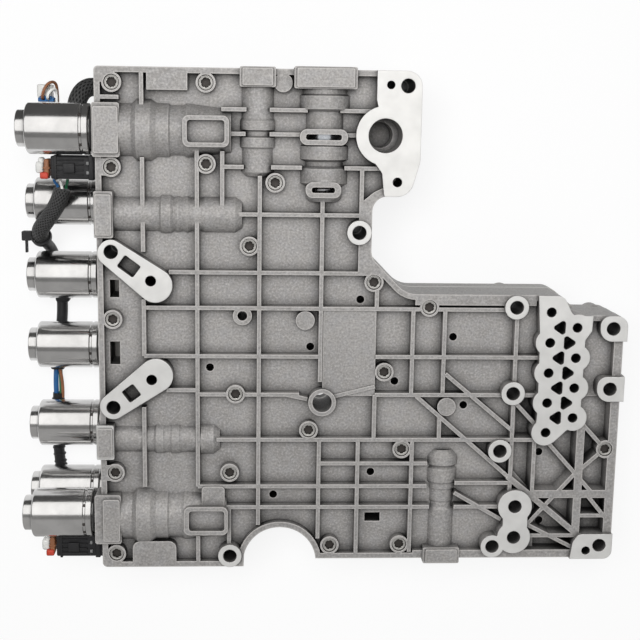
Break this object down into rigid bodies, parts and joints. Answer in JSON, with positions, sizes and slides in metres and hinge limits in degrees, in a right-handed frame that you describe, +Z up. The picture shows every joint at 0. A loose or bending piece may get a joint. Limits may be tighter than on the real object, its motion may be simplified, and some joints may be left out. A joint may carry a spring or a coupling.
{
  "type": "transmission valve body",
  "caption": "Two-storey aluminium valve body for an automatic transmission: ribbed upper casting with valve humps, steel separator plate, lower casting, solenoid cartridges and wiring.",
  "frame": {"origin": "rest pad under the middle of the lower casting, at the level of the feet that the part stands on", "axes": "+X along the long side away from the solenoid cartridges, +Z up out of the ribbed face with the case pads"},
  "size_m": [0.3746, 0.3045, 0.0919],
  "materials": {
    "cast_aluminium": "cast",
    "rolled_steel": "satin",
    "bolt_steel": "plated",
    "ground_steel": "ground",
    "can_steel": "polished",
    "anodised_spool": "anodised",
    "spring_wire": "drawn",
    "white_plastic": "moulded",
    "black_plastic": "moulded",
    "loom_braid": "braided",
    "wire_cover": "extruded"
  },
  "bodies": {
    "body": {"back_connector": "black_plastic", "back_solenoid_1": "can_steel", "back_solenoid_2": "can_steel", "back_solenoid_3": "can_steel", "back_solenoid_4": "can_steel", "back_solenoid_5": "can_steel", "back_solenoid_6": "can_steel", "boost_valve_plug": "anodised_spool", "boost_valve_ring": "spring_wire", "boost_valve_spring": "spring_wire", "cable_tie": "black_plastic", "check_balls": "ground_steel", "clamp_bolts": "bolt_steel", "connector_lock_1": "white_plastic", "connector_lock_2": "white_plastic", "dowel_pins": "ground_steel", "front_solenoid_1": "can_steel", "front_solenoid_2": "can_steel", "line_valve_plug": "anodised_spool", "line_valve_ring": "spring_wire", "line_valve_spring": "spring_wire", "lockup_valve_plug": "anodised_spool", "lockup_valve_ring": "spring_wire", "lockup_valve_spring": "spring_wire", "loom_trunk": "loom_braid", "lower_casting": "cast_aluminium", "main_connector": "black_plastic", "pressure_valve_plug": "anodised_spool", "pressure_valve_ring": "spring_wire", "pressure_valve_spring": "spring_wire", "separator_plate": "rolled_steel", "side_connector_1": "black_plastic", "side_connector_2": "black_plastic", "side_loom": "loom_braid", "side_wires": "wire_cover", "top_loom": "loom_braid", "top_plug": "white_plastic", "top_wires": "wire_cover", "torque_valve_plug": "anodised_spool", "torque_valve_ring": "spring_wire", "torque_valve_spring": "spring_wire", "trunk_clip": "black_plastic", "upper_casting": "cast_aluminium"},
    "line_valve_spool": {"line_valve": "anodised_spool"},
    "torque_valve_spool": {"torque_valve": "anodised_spool"},
    "boost_valve_spool": {"boost_valve": "anodised_spool"},
    "pressure_valve_spool": {"pressure_valve": "anodised_spool"},
    "lockup_valve_spool": {"lockup_valve": "anodised_spool"}
  },
  "joints": [
    {"name": "line_valve_stroke", "type": "slide", "parent": "body", "child": "line_valve_spool", "axis": [1, 0, 0], "range_m": [0, 0.004], "stiffness_N_per_m": 300, "springref_m": -0.004, "deforming": ["line_valve_spring"]},
    {"name": "torque_valve_stroke", "type": "slide", "parent": "body", "child": "torque_valve_spool", "axis": [1, 0, 0], "range_m": [0, 0.004], "stiffness_N_per_m": 300, "springref_m": -0.004, "deforming": ["torque_valve_spring"]},
    {"name": "boost_valve_stroke", "type": "slide", "parent": "body", "child": "boost_valve_spool", "axis": [0, -1, 0], "range_m": [0, 0.004], "stiffness_N_per_m": 300, "springref_m": -0.004, "deforming": ["boost_valve_spring"]},
    {"name": "pressure_valve_stroke", "type": "slide", "parent": "body", "child": "pressure_valve_spool", "axis": [0, -1, 0], "range_m": [0, 0.004], "stiffness_N_per_m": 300, "springref_m": -0.004, "deforming": ["pressure_valve_spring"]},
    {"name": "lockup_valve_stroke", "type": "slide", "parent": "body", "child": "lockup_valve_spool", "axis": [0, 1, 0], "range_m": [0, 0.004], "stiffness_N_per_m": 300, "springref_m": -0.004, "deforming": ["lockup_valve_spring"]}
  ]
}
